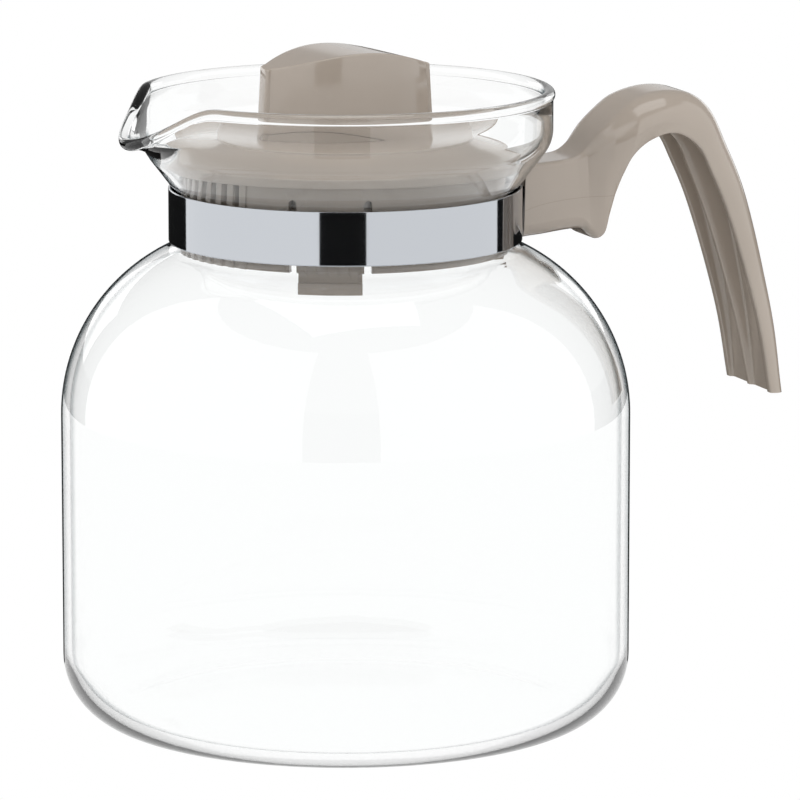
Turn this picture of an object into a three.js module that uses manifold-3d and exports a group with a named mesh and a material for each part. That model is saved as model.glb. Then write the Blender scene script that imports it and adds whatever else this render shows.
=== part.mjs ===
// Glass jug with a clamped handle and a lift-off pouring lid.
// Millimetres, +Z up. The origin is the centre of the base, on the jug's axis.
// +X points to the handle, and -X to the pouring lip.

import * as THREE from 'three';
import { mergeVertices } from 'three/addons/utils/BufferGeometryUtils.js';
import Module from 'manifold-3d';

const wasm = await Module();
wasm.setup();

const degrees = Math.PI / 180;

// ---- Driving dimensions -------------------------------------------------

// Glass body
const bodyRadius = 75;
const footCornerRadius = 18;
const shoulderHeight = 82;
const shoulderRadius = 48.6;
const neckRadius = 45.4;
const neckFillet = 3;
const glassWall = 2.2;
const baseThickness = 3.2;

// Glass collar above the neck
const collarFlare = 9;
const flareSlope = 53 * degrees;
const bowlRadius = 10;
const collarHeight = 25.2;
const beadRadius = 1.6;

// Pouring lip pulled out of the collar
const lipReach = 6.4;
const lipDrop = 10.4;
const lipHalfAngle = 33 * degrees;
const lipRise = 2.6;
const lipBendOut = 6.2;
const lipBendDrop = 0.6;

// Steel clamp band and its ears
const bandHeight = 14.1;
const bandThickness = 0.6;
const bandGap = 0.4;
const bandDrop = 0.5;
const bandOverlap = 0.7;
const earReach = 12;
const earHeight = 9.4;
const earSpacing = 6.8;
const earBend = 1.6;

// Clamp hardware
const screwRadius = 1.7;
const headRadius = 3.6;
const headThickness = 2.4;
const washerRadius = 4.1;
const washerThickness = 0.8;
const barrelRadius = 2.8;
const barrelLength = 9.2;

// Handle
const armHalfWidth = 8;
const gripHalfWidth = 15;
const gripWall = 2.6;
const webThickness = 3;
const ribHalfWidth = 0.9;
const saddleGap = 1.6;
const archHalfWidth = 12.4;
const channelStart = 10.6;
const channelDeep = 12.5;
const ribStart = 11.5;
const ribRise = 1.2;
const edgeRound = 0.6;

// Lid
const lidThickness = 2.4;
const flangeThickness = 2.5;
const platformRadius = 33.5;
const platformStep = 0.7;
const coneRise = 3.6;
const skirtClearance = 0.8;
const skirtWall = 2;
const skirtDepth = 23.8;
const combHalfAngle = 32.7 * degrees;
const combRibs = 13;
const combRibWidth = 2;
const combRibDepth = 0.5;
const combRim = 4.6;
const tabAngle = 64.7 * degrees;
const tabWidth = 17.3;
const tabFootWidth = 16.4;
const tabLength = 5.1;
const tabSlotWidth = 2;
const tabSlotRise = 20.5;
const hookHeight = 2.8;
const hookDepth = 0.5;

// Knob
const knobHalfLength = 23.2;
const knobHalfWidth = 13.6;
const knobEndHalfWidth = 2.2;
const knobHeight = 22.6;
const knobFall = 0.0106;
const knobFallEase = 4.3e-6;
const knobSkew = 0.2;
const knobTaper = 0.055;
const knobWall = 2;
const knobTurn = -4 * degrees;
const pegRadius = 2;
const pegSpacing = 24;

// Clearances
const fitGap = 0.3;
const flangeGap = 0.25;

// Curve fineness
const turnSteps = 64;
const arcSteps = 6;
const bowlSteps = 4;

// ---- Sizes that follow ----------------------------------------------------

const shoulderCentreRadius = bodyRadius - shoulderRadius;
const neckFootZ = shoulderHeight + Math.sqrt(
  (shoulderRadius + neckFillet) ** 2 - (neckRadius + neckFillet - shoulderCentreRadius) ** 2,
);
// The band just overlaps the roots of the fillets at both ends of the straight neck.
const neckLength = bandHeight - 2 * bandOverlap;
const neckTopZ = neckFootZ + neckLength;
const neckInnerRadius = neckRadius - glassWall;
const collarRadius = neckRadius + collarFlare;
const rimZ = neckTopZ + collarHeight;
const rimRadius = collarRadius - glassWall / 2;

const bandBottomZ = neckFootZ - bandDrop;
const bandMiddleZ = bandBottomZ + bandHeight / 2;
const bandInnerRadius = neckRadius + bandGap;
const bandOuterRadius = bandInnerRadius + bandThickness;
const saddleRadius = bandOuterRadius + saddleGap;
const earEndX = bandOuterRadius + earReach;
const barrelX = earEndX - barrelRadius - 1.1;
const slotEndX = earEndX + 0.5;
const seatX = slotEndX + 7.6;
const washerX = seatX + fitGap;
const headX = washerX + washerThickness + fitGap;

// The collar is a cone just above the neck. The lid's flange rests on its inner face.
const coneTangent = Math.tan(flareSlope);
const coneFootRadius = neckRadius + neckFillet * (1 - Math.sin(flareSlope));
const coneFootZ = neckTopZ + neckFillet * Math.cos(flareSlope);
const flangeRadius = neckRadius + 1.8;
const flangeBottomZ = coneHeight(flangeRadius, glassWall + flangeGap);
const flangeTopZ = flangeBottomZ + flangeThickness;
const platformZ = flangeTopZ + coneRise + platformStep;
const skirtTopZ = flangeBottomZ - fitGap;
const skirtBottomZ = skirtTopZ - skirtDepth;
const skirtRadius = neckInnerRadius - skirtClearance;
const skirtInnerRadius = skirtRadius - skirtWall;
const tabBottomZ = skirtBottomZ - tabLength;

// ---- Helpers ---------------------------------------------------------------

// The height of the collar's cone at a radius, for a face set in from the outer one.
function coneHeight(radius, inset) {
  return coneFootZ + (radius - coneFootRadius) * coneTangent + inset / Math.cos(flareSlope);
}

// A closed three.js geometry as a solid.
function solid(geometry) {
  const bare = geometry.index ? geometry.toNonIndexed() : geometry.clone();
  bare.deleteAttribute('normal');
  bare.deleteAttribute('uv');
  const merged = mergeVertices(bare, 1e-4);
  return new wasm.Manifold(new wasm.Mesh({
    numProp: 3,
    vertProperties: new Float32Array(merged.attributes.position.array),
    triVerts: new Uint32Array(merged.index.array),
  }));
}

// A solid as a three.js geometry with flat normals.
function geometryOf(manifold) {
  const mesh = manifold.getMesh();
  const geometry = new THREE.BufferGeometry();
  geometry.setAttribute('position', new THREE.BufferAttribute(new Float32Array(mesh.vertProperties), 3));
  geometry.setIndex(new THREE.BufferAttribute(new Uint32Array(mesh.triVerts), 1));
  const flat = geometry.toNonIndexed();
  flat.computeVertexNormals();
  return flat;
}

// Turns a profile of [radius, height] points about the Z axis.
function turned(profile, steps = turnSteps) {
  const points = profile.map(([r, z]) => new THREE.Vector2(r, z));
  return new THREE.LatheGeometry(points, steps).rotateX(Math.PI / 2);
}

function cylinderZ(radius, bottom, top, steps = 32) {
  const geometry = new THREE.CylinderGeometry(radius, radius, top - bottom, steps);
  geometry.rotateX(Math.PI / 2).translate(0, 0, (top + bottom) / 2);
  return geometry;
}

function cylinderX(radius, from, to, z, steps = 28) {
  const geometry = new THREE.CylinderGeometry(radius, radius, to - from, steps);
  geometry.rotateZ(-Math.PI / 2).translate((from + to) / 2, 0, z);
  return geometry;
}

function cylinderY(radius, halfLength, x, z, steps = 28) {
  return new THREE.CylinderGeometry(radius, radius, 2 * halfLength, steps).translate(x, 0, z);
}

function box(low, high) {
  const size = high.map((value, axis) => value - low[axis]);
  const middle = high.map((value, axis) => (value + low[axis]) / 2);
  return new THREE.BoxGeometry(...size).translate(...middle);
}

// A box that straddles the radius line at one angle, such as a rib or a slot of a ring.
function radialBox(innerRadius, outerRadius, width, bottom, top, angle) {
  return box([innerRadius, -width / 2, bottom], [outerRadius, width / 2, top]).rotateZ(angle);
}

// Points of an arc in the [radius, height] plane, both ends included.
function arc(r, z, radius, from, to, steps = arcSteps) {
  return Array.from({ length: steps + 1 }, (_, i) => {
    const angle = from + ((to - from) * i) / steps;
    return [r + radius * Math.cos(angle), z + radius * Math.sin(angle)];
  });
}

// ---- Glass jug -------------------------------------------------------------

// One face of the collar from the neck up to the bead, set in from the outer face by an offset.
function collarFace(offset) {
  const filletTop = [neckRadius + neckFillet, neckTopZ];
  const bowlCentreR = collarRadius - bowlRadius;
  const coneEndR = bowlCentreR + bowlRadius * Math.sin(flareSlope);
  const bowlCentreZ = coneHeight(coneEndR, 0) + bowlRadius * Math.cos(flareSlope);
  const fillet = arc(...filletTop, neckFillet + offset, Math.PI, Math.PI / 2 + flareSlope, 3);
  const bowl = arc(bowlCentreR, bowlCentreZ, bowlRadius - offset, flareSlope - Math.PI / 2, 0, bowlSteps);
  return [...fillet, seatPoint(offset), ...bowl];
}

// The point just outside the lid's flange where the inner face's seat ends, on a face set in by an offset.
function seatPoint(offset) {
  const inset = glassWall - offset;
  return [
    flangeRadius + fitGap + inset * Math.sin(flareSlope),
    coneHeight(flangeRadius + fitGap, glassWall) - inset * Math.cos(flareSlope),
  ];
}

// The collar's section in the plane of the pouring lip. It leaves the plain collar only above the
// lid's seat, so the lid can turn.
function lipFace(offset) {
  const start = new THREE.Vector2(...seatPoint(glassWall / 2));
  const end = new THREE.Vector2(rimRadius + lipReach, rimZ - lipDrop);
  const curve = new THREE.CubicBezierCurve(
    start,
    new THREE.Vector2(Math.cos(flareSlope), Math.sin(flareSlope)).multiplyScalar(lipRise).add(start),
    new THREE.Vector2(neckRadius + lipBendOut, end.y - lipBendDrop),
    end,
  );
  const collar = collarFace(offset);
  const upper = bowlSteps + 1;
  const pulled = Array.from({ length: upper }, (_, i) => {
    const share = (i + 1) / (upper + 0.5);
    const point = curve.getPoint(share);
    const tangent = curve.getTangent(share);
    const shift = glassWall / 2 - offset;
    return [point.x + tangent.y * shift, point.y - tangent.x * shift];
  });
  return [...collar.slice(0, -upper), ...pulled];
}

function beadFrom(centre, startAngle, endAngle) {
  return arc(centre[0], centre[1], beadRadius, startAngle, endAngle, 8);
}

// How far round the lip each azimuth is pulled: 1 in the lip's plane, 0 past its half angle.
function lipPull(azimuth) {
  const share = Math.min(Math.abs(azimuth) / lipHalfAngle, 1);
  return (1 + Math.cos(Math.PI * share)) / 2;
}

function glassJug() {
  const cornerZ = footCornerRadius;
  const innerCorner = footCornerRadius - glassWall;
  const shoulderEnd = Math.atan2(
    neckFootZ - shoulderHeight,
    neckRadius + neckFillet - shoulderCentreRadius,
  );
  const footR = bodyRadius - footCornerRadius;
  const neckFilletR = neckRadius + neckFillet;

  const outerBelow = [
    [0, 0],
    ...arc(footR, cornerZ, footCornerRadius, -Math.PI / 2, 0),
    ...arc(shoulderCentreRadius, shoulderHeight, shoulderRadius, 0, shoulderEnd, 11),
    ...arc(neckFilletR, neckFootZ, neckFillet, Math.PI + shoulderEnd, Math.PI, 3),
  ];
  const innerBelow = [
    ...arc(neckFilletR, neckFootZ, neckFillet + glassWall, Math.PI, Math.PI + shoulderEnd, 3),
    ...arc(shoulderCentreRadius, shoulderHeight, shoulderRadius - glassWall, shoulderEnd, 0, 11),
    ...arc(footR, baseThickness + innerCorner, innerCorner, 0, -Math.PI / 2),
    [0, baseThickness],
  ];

  const outerCollar = collarFace(0);
  const innerCollar = collarFace(glassWall).reverse();
  const bead = beadFrom([rimRadius, rimZ], -50 * degrees, 230 * degrees);
  const plain = [...outerBelow, ...outerCollar, ...bead, ...innerCollar, ...innerBelow];

  const lipCentre = [rimRadius + lipReach, rimZ - lipDrop];
  const lipOuter = lipFace(0);
  const lipInner = lipFace(glassWall).reverse();
  const lipBead = beadFrom(lipCentre, -120 * degrees, 160 * degrees);
  const pulled = [...outerBelow, ...lipOuter, ...lipBead, ...lipInner, ...innerBelow];

  const geometry = turned(plain);
  const position = geometry.attributes.position;
  for (let i = 0; i < position.count; i += 1) {
    const [plainR, plainZ] = plain[i % plain.length];
    const [lipR, lipZ] = pulled[i % plain.length];
    const azimuth = Math.atan2(position.getY(i), -position.getX(i));
    const pull = plainR > 0 ? lipPull(azimuth) : 0;
    const r = plainR + (lipR - plainR) * pull ** 1.3;
    const z = plainZ + (lipZ - plainZ) * pull;
    position.setXYZ(i, -r * Math.cos(azimuth), r * Math.sin(azimuth), z);
  }
  return geometryOf(solid(geometry));
}

// ---- Clamp -----------------------------------------------------------------

// The strip seen from above: an open ring whose ends bend outwards into two flat ears.
function clampBand() {
  const half = bandThickness / 2;
  const middleRadius = bandInnerRadius + half;
  const earY = earSpacing / 2;
  const turnAngle = Math.asin((earY + earBend) / (middleRadius + earBend));
  const bendX = (middleRadius + earBend) * Math.cos(turnAngle);
  const bendY = earY + earBend;
  const full = 2 * Math.PI;

  const shape = new THREE.Shape();
  shape.moveTo(earEndX, earY - half);
  shape.lineTo(earEndX, earY + half);
  shape.absarc(bendX, bendY, earBend - half, -Math.PI / 2, turnAngle - Math.PI, true);
  shape.absarc(0, 0, bandOuterRadius, turnAngle, full - turnAngle, false);
  shape.absarc(bendX, -bendY, earBend - half, Math.PI - turnAngle, Math.PI / 2, true);
  shape.lineTo(earEndX, -earY - half);
  shape.lineTo(earEndX, -earY + half);
  shape.absarc(bendX, -bendY, earBend + half, Math.PI / 2, Math.PI - turnAngle, false);
  shape.absarc(0, 0, bandInnerRadius, full - turnAngle, turnAngle, true);
  shape.absarc(bendX, bendY, earBend + half, turnAngle - Math.PI, -Math.PI / 2, false);

  const strip = new THREE.ExtrudeGeometry(shape, {
    depth: bandHeight,
    bevelEnabled: false,
    curveSegments: turnSteps,
  }).translate(0, 0, bandBottomZ);
  const earFromX = bandOuterRadius + saddleGap / 3;
  const earTrim = (low, high) => solid(box([earFromX, -earSpacing, low], [earEndX + 1, earSpacing, high]));
  const hole = cylinderY(barrelRadius + fitGap, earSpacing, barrelX, bandMiddleZ);
  const band = solid(strip)
    .subtract(earTrim(bandMiddleZ + earHeight / 2, bandMiddleZ + bandHeight))
    .subtract(earTrim(bandMiddleZ - bandHeight, bandMiddleZ - earHeight / 2))
    .subtract(solid(hole));
  return geometryOf(band);
}

// A barrel nut: it lies across the ears, through both of their holes, and takes the screw.
function clampNut() {
  const barrel = solid(cylinderY(barrelRadius, barrelLength / 2, barrelX, bandMiddleZ));
  const reach = 2 * barrelRadius;
  const bore = solid(cylinderX(screwRadius + fitGap, barrelX - reach, barrelX + reach, bandMiddleZ));
  return geometryOf(barrel.subtract(bore));
}

function clampScrew() {
  const tipX = barrelX - barrelRadius - 1.2;
  const shank = solid(cylinderX(screwRadius, tipX, headX + 0.5, bandMiddleZ));
  const profile = [
    [0, 0],
    [headRadius, 0],
    ...arc(headRadius - headThickness * 0.6, headThickness * 0.4, headThickness * 0.6, 0, Math.PI / 2, 4),
    [0, headThickness],
  ];
  const head = solid(turned(profile, 32).rotateY(Math.PI / 2).translate(headX, 0, bandMiddleZ));
  const recessX = headX + headThickness;
  const arm = headRadius * 0.55;
  const across = solid(box(
    [recessX - 1.4, -arm, bandMiddleZ - 0.5],
    [recessX + 1, arm, bandMiddleZ + 0.5],
  ));
  const upright = solid(box(
    [recessX - 1.4, -0.5, bandMiddleZ - arm],
    [recessX + 1, 0.5, bandMiddleZ + arm],
  ));
  return geometryOf(head.add(shank).subtract(across).subtract(upright));
}

function clampWasher() {
  const disc = solid(cylinderX(washerRadius, washerX, washerX + washerThickness, bandMiddleZ, 32));
  const hole = solid(cylinderX(screwRadius + fitGap, washerX - 1, washerX + 2, bandMiddleZ, 32));
  return geometryOf(disc.subtract(hole));
}

// ---- Handle ----------------------------------------------------------------

// Pairs of points along the handle, from the band out along the arm, over the arch and down
// the grip. Both are measured out from the band's face and up from the band's middle:
// [outer out, outer up, inner out, inner up, outer half width, inner half width, corner radius].
const handleStations = [
  [-2.4, 10.7, -2.4, -8.6, armHalfWidth, armHalfWidth, 1.2],
  [7.6, 11.4, 7.6, -7.9, armHalfWidth, armHalfWidth, 1.2],
  [15.6, 12.5, 17.9, -7, armHalfWidth, armHalfWidth, 1.4],
  [18.6, 14.5, 20, -8.9, armHalfWidth + 0.4, armHalfWidth, 2],
  [20.7, 16.9, 22, -9.7, armHalfWidth + 1.6, armHalfWidth, 3],
  [22.8, 19.3, 23.8, -8.5, armHalfWidth + 3, armHalfWidth, 4],
  [25, 21.4, 25.3, -3.4, archHalfWidth, armHalfWidth, 5.5],
  [27.8, 23.8, 26.7, 1.9, archHalfWidth + 1.2, armHalfWidth + 0.4, 7],
  [31.8, 26.7, 28.2, 7, gripHalfWidth - 0.3, armHalfWidth + 1.8, 8.5],
  [37.1, 28.5, 30.6, 13.1, gripHalfWidth, archHalfWidth, 9],
  [42.6, 29.1, 35.2, 17.3, gripHalfWidth, gripHalfWidth - 0.4, 9],
  [48.6, 28, 41.6, 18.5, gripHalfWidth, gripHalfWidth, 9],
  [53.4, 24.2, 47.8, 14.8, gripHalfWidth, gripHalfWidth, 8.5],
  [57.8, 15, 52.2, 6.8, gripHalfWidth, gripHalfWidth, 7.5],
  [63.1, 1.9, 56.9, -4.1, gripHalfWidth, gripHalfWidth, 6.5],
  [71, -32, 65.8, -33.6, gripHalfWidth, gripHalfWidth, 4.8],
  [73.6, -53.2, 69.4, -53, gripHalfWidth, gripHalfWidth, 3],
];
const lastStation = handleStations.length - 1;
const stepsPerStation = 3;

function stationValue(column, t) {
  const index = Math.min(Math.floor(t), lastStation - 1);
  const share = t - index;
  return handleStations[index][column] * (1 - share) + handleStations[index + 1][column] * share;
}

function handleCurve(outColumn, upColumn) {
  return new THREE.CatmullRomCurve3(handleStations.map((station) => new THREE.Vector3(
    bandOuterRadius + station[outColumn],
    0,
    bandMiddleZ + station[upColumn],
  )));
}

// Sweeps a section along the handle from one station to another. A section is a closed row of
// [y, depth] points, the depth being measured from the inner face. The last section may run past
// the end, so that a cut goes right through it.
function handleSweep(from, to, sectionAt, overrun = 0) {
  const outer = handleCurve(0, 1);
  const inner = handleCurve(2, 3);
  const steps = Math.ceil((to - from) * stepsPerStation);
  const vertices = [];
  const faces = [];
  const flats = [];
  for (let k = 0; k <= steps; k += 1) {
    const t = from + ((to - from) * k) / steps;
    const top = outer.getPoint(t / lastStation);
    const bottom = inner.getPoint(t / lastStation);
    const ahead = inner.getTangent(t / lastStation).multiplyScalar(k === steps ? overrun : 0);
    top.add(ahead);
    bottom.add(ahead);
    const along = top.clone().sub(bottom).normalize();
    const section = sectionAt(t, top.distanceTo(bottom));
    flats.push(section.map(([y, depth]) => new THREE.Vector2(y, depth)));
    section.forEach(([y, depth]) => {
      vertices.push(...bottom.clone().addScaledVector(along, depth).setY(y).toArray());
    });
  }
  const count = flats[0].length;
  for (let k = 0; k < steps; k += 1) {
    for (let i = 0; i < count; i += 1) {
      const j = (i + 1) % count;
      const a = k * count;
      const b = a + count;
      faces.push(a + i, a + j, b + j, a + i, b + j, b + i);
    }
  }
  const last = steps * count;
  THREE.ShapeUtils.triangulateShape(flats[0], []).forEach(([a, b, c]) => faces.push(a, c, b));
  THREE.ShapeUtils.triangulateShape(flats[steps], []).forEach((face) => {
    faces.push(...face.map((index) => last + index));
  });
  const geometry = new THREE.BufferGeometry();
  geometry.setAttribute('position', new THREE.Float32BufferAttribute(vertices, 3));
  geometry.setIndex(faces);
  return solid(geometry);
}

// A half section on the +y side, with its mirror image.
function mirrored(half) {
  return [...half, ...half.map(([y, depth]) => [-y, depth]).reverse()];
}

// The handle's full section: square edges on the inner face, round ones on the outer face.
function blankSection(t, depth) {
  const outerHalf = stationValue(4, t);
  const innerHalf = stationValue(5, t);
  const radius = Math.min(stationValue(6, t), depth - 1);
  return mirrored([
    [innerHalf - edgeRound, 0],
    [innerHalf, edgeRound],
    ...arc(outerHalf - radius, depth - radius, radius, 0, Math.PI / 2, 4),
  ]);
}

// The floor of the grip's channel, measured from the inner face: it starts above the face.
function channelFloor(t, depth) {
  const share = THREE.MathUtils.smoothstep(t, channelStart, channelDeep);
  return THREE.MathUtils.lerp(-0.8, depth - webThickness, share);
}

function channelSection(t, depth) {
  const floor = channelFloor(t, depth);
  const overshoot = 2;
  const radius = Math.min(0.6 * (floor + overshoot), Math.max(stationValue(6, t) - 1.5, 1));
  const half = gripHalfWidth - gripWall;
  return mirrored([[half, -overshoot], ...arc(half - radius, floor - radius, radius, 0, Math.PI / 2, 3)]);
}

// The rib along the channel's middle stands level with the walls at both ends, and proud between.
function ribSection(t, depth) {
  const share = (t - ribStart) / (lastStation - ribStart);
  const proud = ribRise * Math.sin(Math.PI * Math.max(share, 0));
  return mirrored([[ribHalfWidth, -proud], [ribHalfWidth + 0.4, channelFloor(t, depth) + 1]]);
}

function handle() {
  const coneTopZ = bandMiddleZ + 20;
  const saddleConeZ = coneHeight(saddleRadius, -saddleGap / 2);
  const saddleTopRadius = saddleRadius + (coneTopZ - saddleConeZ) / coneTangent;
  const saddle = turned([
    [0, bandBottomZ - 5],
    [saddleRadius, bandBottomZ - 5],
    [saddleRadius, saddleConeZ],
    [saddleTopRadius, coneTopZ],
    [0, coneTopZ],
  ], 96);
  const slotHalf = barrelLength / 2 + fitGap;
  const slotRise = earHeight / 2 + fitGap;
  const slot = box(
    [bandOuterRadius - 3, -slotHalf, bandMiddleZ - slotRise],
    [slotEndX, slotHalf, bandMiddleZ + slotRise],
  );
  const bore = cylinderX(screwRadius + fitGap, slotEndX - 1, seatX + 1, bandMiddleZ);
  const counterbore = cylinderX(washerRadius + fitGap, seatX, seatX + 20, bandMiddleZ, 32);
  const blank = handleSweep(0, lastStation, blankSection);
  const channel = handleSweep(channelStart, lastStation, channelSection, 1);
  const rib = handleSweep(ribStart, lastStation, ribSection);
  const body = blank.subtract(channel).add(rib);
  return geometryOf([saddle, slot, bore, counterbore].reduce((kept, tool) => kept.subtract(solid(tool)), body));
}

// ---- Lid -------------------------------------------------------------------

// The turning joint between cover and skirt: a lip inside the skirt over a hook on the spigot.
const lipInnerRadius = skirtInnerRadius - 1.4;
const spigotRadius = lipInnerRadius - fitGap;
const spigotInnerRadius = spigotRadius - 1.6;
const hookRadius = skirtInnerRadius - fitGap;
const snapLipTopZ = skirtTopZ - 3.2;
const snapLipBottomZ = snapLipTopZ - 1.6;
const spigotBottomZ = snapLipBottomZ - 2.2;

function lidCover() {
  const ceilingZ = platformZ - lidThickness;
  const edge = 0.4;
  const coneTopZ = platformZ - platformStep;
  const profile = [
    [0, ceilingZ],
    [spigotInnerRadius - 3.7, ceilingZ],
    [spigotInnerRadius, ceilingZ - 1],
    [spigotInnerRadius, spigotBottomZ],
    [hookRadius, spigotBottomZ],
    [hookRadius, spigotBottomZ + 1.1],
    [spigotRadius, snapLipBottomZ - fitGap],
    [spigotRadius, flangeBottomZ],
    [flangeRadius - edge, flangeBottomZ],
    [flangeRadius, flangeBottomZ + edge],
    [flangeRadius, flangeTopZ - edge],
    [flangeRadius - 2 * edge, flangeTopZ],
    [platformRadius, coneTopZ],
    [platformRadius, platformZ - edge],
    [platformRadius - edge, platformZ],
    [0, platformZ],
  ];
  const trim = new THREE.Shape();
  trim.absarc(0, 0, skirtRadius + combRibDepth, Math.PI - combHalfAngle, Math.PI + combHalfAngle, false);
  trim.absarc(0, 0, flangeRadius + 5, Math.PI + combHalfAngle, Math.PI - combHalfAngle, true);
  const trimmer = new THREE.ExtrudeGeometry(trim, {
    depth: platformZ - flangeBottomZ + 2,
    bevelEnabled: false,
    curveSegments: 12,
  }).translate(0, 0, flangeBottomZ - 1);
  let cover = solid(turned(profile)).subtract(solid(trimmer));
  pegCentres().forEach(([x, y]) => {
    const hole = cylinderZ(pegRadius + fitGap, ceilingZ - 3, platformZ + 1, 20).translate(x, y, 0);
    cover = cover.subtract(solid(hole));
  });
  return geometryOf(cover);
}

function pegCentres() {
  return [-1, 1].map((side) => [
    (side * pegSpacing * Math.cos(knobTurn)) / 2,
    (side * pegSpacing * Math.sin(knobTurn)) / 2,
  ]);
}

// The knob's plan: two shallow arcs that meet two short flat ends.
function knobPlan(inset) {
  const halfLength = knobHalfLength - inset;
  const halfWidth = knobHalfWidth - inset;
  const sag = knobHalfWidth - knobEndHalfWidth;
  const radius = (knobHalfLength ** 2 + sag ** 2) / (2 * sag) - inset;
  const centreY = radius - halfWidth;
  const spread = Math.asin(halfLength / radius);
  const shape = new THREE.Shape();
  shape.absarc(0, centreY, radius, -Math.PI / 2 - spread, -Math.PI / 2 + spread, false);
  shape.absarc(0, -centreY, radius, Math.PI / 2 - spread, Math.PI / 2 + spread, false);
  return shape;
}

function knobBlock(inset, bottom, top) {
  const geometry = new THREE.ExtrudeGeometry(knobPlan(inset), {
    depth: top - bottom,
    bevelEnabled: false,
    curveSegments: 20,
  });
  const position = geometry.attributes.position;
  for (let i = 0; i < position.count; i += 1) {
    const shrink = 1 - (knobTaper * position.getZ(i)) / knobHeight;
    position.setXY(i, position.getX(i) * shrink, position.getY(i) * shrink);
  }
  return solid(geometry.translate(0, 0, bottom));
}

// The space under the knob's top: a ridge that runs askew across the knob and falls to both sides.
function knobRidge(crestZ) {
  const reach = 32;
  const across = Math.hypot(1, knobSkew);
  const steps = 28;
  const shape = new THREE.Shape();
  shape.moveTo(-reach, -60);
  for (let i = 0; i <= steps; i += 1) {
    const s = -reach + (2 * reach * i) / steps;
    const away = s * across;
    shape.lineTo(s, knobFallEase * away ** 4 - knobFall * away ** 2);
  }
  shape.lineTo(reach, -60);
  const ridge = new THREE.ExtrudeGeometry(shape, { depth: 120, bevelEnabled: false });
  ridge.translate(0, 0, -60).rotateX(Math.PI / 2).rotateZ(Math.atan(knobSkew));
  return solid(ridge.translate(0, 0, crestZ));
}

function lidKnob() {
  const baseZ = platformZ + fitGap;
  const crestZ = baseZ + knobHeight;
  const outer = knobBlock(0, baseZ, crestZ + 1).intersect(knobRidge(crestZ));
  const hollow = knobBlock(knobWall, baseZ - 1, crestZ).intersect(knobRidge(crestZ - knobWall - 0.6));
  let knob = outer.subtract(hollow);
  const pegs = [-1, 1].map((side) => {
    const x = (side * pegSpacing) / 2;
    const peg = cylinderZ(pegRadius, platformZ - lidThickness - 0.8, crestZ - knobWall - 1.2, 20);
    return solid(peg.translate(x, 0, 0));
  });
  knob = pegs.reduce((body, peg) => body.add(peg), knob);
  return geometryOf(knob).rotateZ(knobTurn);
}

function skirtRing() {
  const profile = [
    [skirtInnerRadius, skirtBottomZ],
    [skirtRadius, skirtBottomZ],
    [skirtRadius, skirtTopZ],
    [skirtInnerRadius, skirtTopZ],
    [skirtInnerRadius, snapLipTopZ + 0.6],
    [lipInnerRadius, snapLipTopZ],
    [lipInnerRadius, snapLipBottomZ],
    [skirtInnerRadius, snapLipBottomZ],
    [skirtInnerRadius, skirtBottomZ],
  ];
  return solid(turned(profile, 96));
}

// Angles of the comb's ribs, spread over the pouring side.
function combAngles(count) {
  return Array.from({ length: count }, (_, i) => {
    const share = count > 1 ? (2 * i) / (count - 1) - 1 : 0;
    return Math.PI + share * combHalfAngle * (count / combRibs);
  });
}

// One snap tab: a sector of the skirt carried on below it, with a hook round its foot.
function snapTab(angle) {
  const halfAngle = tabFootWidth / 2 / skirtRadius;
  const sector = (inner, outer, bottom, top) => {
    const shape = new THREE.Shape();
    shape.absarc(0, 0, outer, angle - halfAngle, angle + halfAngle, false);
    shape.absarc(0, 0, inner, angle + halfAngle, angle - halfAngle, true);
    const geometry = new THREE.ExtrudeGeometry(shape, {
      depth: top - bottom,
      bevelEnabled: false,
      curveSegments: 6,
    });
    return solid(geometry.translate(0, 0, bottom));
  };
  const blade = sector(skirtInnerRadius, skirtRadius, tabBottomZ, skirtBottomZ + 1);
  const hook = sector(skirtInnerRadius - 0.6, skirtRadius + hookDepth, tabBottomZ, tabBottomZ + hookHeight);
  return blade.add(hook);
}

// The two slots that free a tab from the skirt, each with a round upper end.
function tabSlots(angle) {
  const offset = (tabWidth + tabSlotWidth) / 2 / skirtRadius;
  return [-1, 1].map((side) => {
    const at = angle + side * offset;
    const top = skirtBottomZ + tabSlotRise - tabSlotWidth / 2;
    const slot = radialBox(lipInnerRadius - 1, skirtRadius + 1, tabSlotWidth, skirtBottomZ - 1, top, at);
    const end = cylinderX(tabSlotWidth / 2, lipInnerRadius - 1, skirtRadius + 1, top, 16).rotateZ(at);
    return solid(slot).add(solid(end));
  });
}

function strainerSkirt() {
  const tabs = [Math.PI - tabAngle, Math.PI + tabAngle, 0];
  const ribs = combAngles(combRibs).map((angle) => solid(radialBox(
    skirtInnerRadius + 0.3,
    skirtRadius + combRibDepth,
    combRibWidth,
    skirtBottomZ,
    skirtTopZ,
    angle,
  )));
  const pitch = (2 * combHalfAngle * skirtRadius) / (combRibs - 1);
  const gaps = combAngles(combRibs - 1).map((angle) => solid(radialBox(
    lipInnerRadius - 1,
    skirtRadius + 1,
    pitch - combRibWidth,
    skirtBottomZ + combRim,
    skirtTopZ + 1,
    angle,
  )));
  let skirt = skirtRing();
  tabs.flatMap(tabSlots).concat(gaps).forEach((slot) => {
    skirt = skirt.subtract(slot);
  });
  tabs.map(snapTab).concat(ribs).forEach((piece) => {
    skirt = skirt.add(piece);
  });
  return geometryOf(skirt);
}

// ---- Materials and assembly --------------------------------------------------

const glass = new THREE.MeshStandardMaterial({
  color: 0xeef4f2,
  roughness: 0.02,
  metalness: 0,
  transparent: true,
  opacity: 0.35,
});
const taupePlastic = new THREE.MeshStandardMaterial({ color: 0xaca196, roughness: 0.22, metalness: 0 });
const polishedSteel = new THREE.MeshStandardMaterial({ color: 0xd4d6d8, roughness: 0.08, metalness: 1 });
const platedSteel = new THREE.MeshStandardMaterial({ color: 0xb4b4b2, roughness: 0.35, metalness: 1 });

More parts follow.
